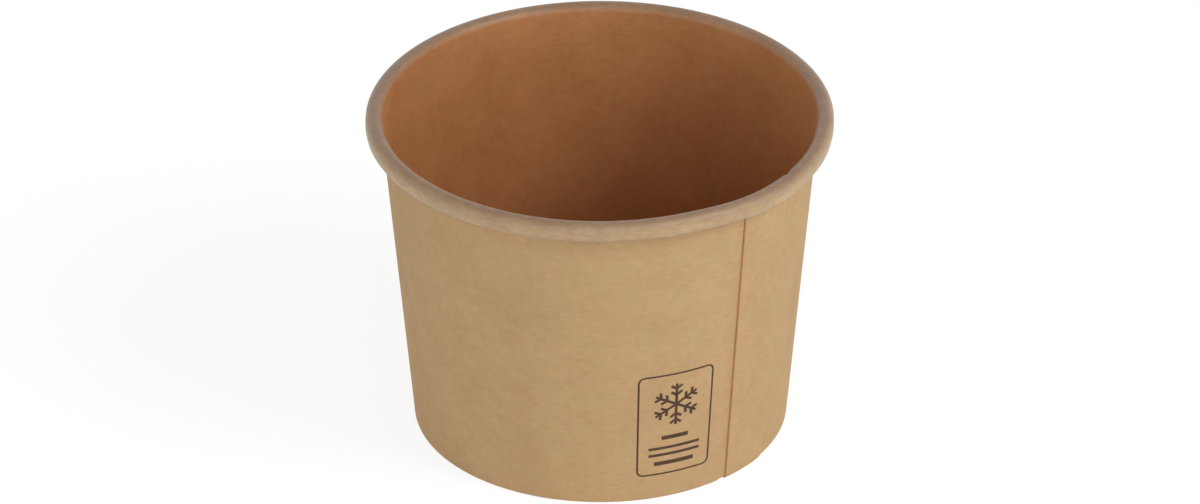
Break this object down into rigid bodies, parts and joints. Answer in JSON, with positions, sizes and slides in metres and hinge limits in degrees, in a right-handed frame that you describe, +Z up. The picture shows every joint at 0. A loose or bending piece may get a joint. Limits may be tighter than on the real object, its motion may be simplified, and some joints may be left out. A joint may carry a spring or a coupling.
{
  "type": "paper ice cream tub",
  "caption": "Round kraft paper tub with a lapped side seam, a rolled brim for a lid and a recessed base disc held in its folded foot.",
  "frame": {"origin": "middle of the foot, on the surface that the tub stands on", "axes": "+Z up along the tub's axis, -Y towards the front, which has the printed panel, with the side seam to the right of it"},
  "size_m": [0.098, 0.098, 0.0722],
  "materials": {
    "wall_board": "matte brown kraft board outside, with a thin satin coating on the food side and the brim",
    "base_board": "brown kraft board, with a thin satin coating on the food side"
  },
  "bodies": {
    "root": {"side_wall": "wall_board", "base_disc": "base_board"}
  },
  "joints": []
}
